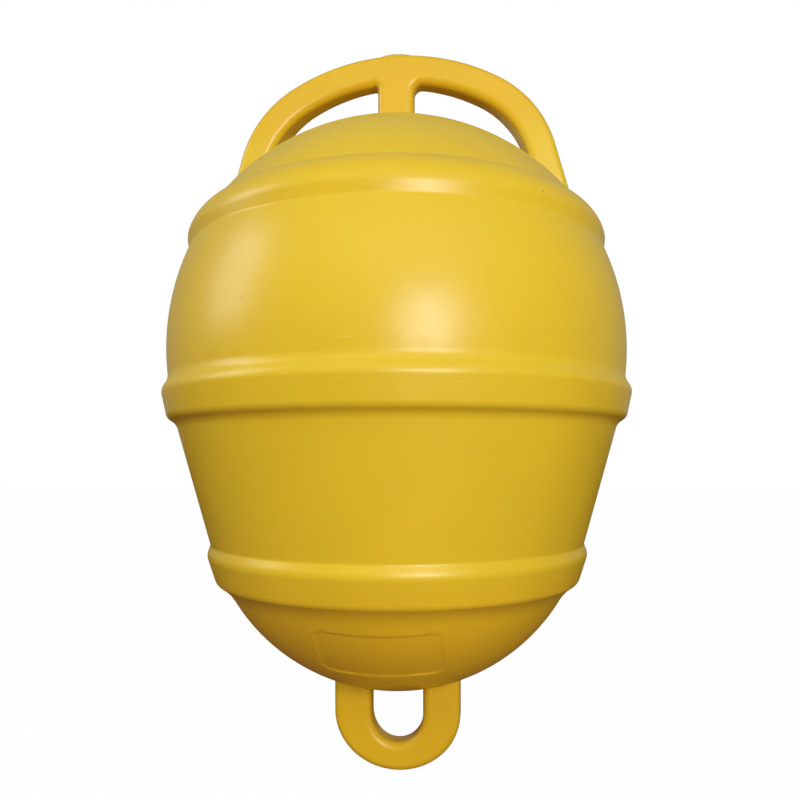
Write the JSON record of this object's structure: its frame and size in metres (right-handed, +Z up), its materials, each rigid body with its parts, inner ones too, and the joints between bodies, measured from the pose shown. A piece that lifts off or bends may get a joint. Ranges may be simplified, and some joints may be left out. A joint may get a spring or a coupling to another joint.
{
  "type": "mooring buoy",
  "caption": "One-piece moulded plastic mooring buoy: a ringed barrel float with a domed top and a round bottom, an arched carrying handle above and a mooring eye below.",
  "frame": {"origin": "centre of the round end of the mooring eye's hole, on the float's axis", "axes": "+Z up along the float's axis, from the eye to the handle; X along the handle and across the eye; Y through the eye's hole"},
  "size_m": [0.4, 0.4, 0.6333],
  "materials": {
    "yellow_polyethylene": "satin"
  },
  "bodies": {
    "root": {"buoy_body": "yellow_polyethylene"}
  },
  "joints": []
}
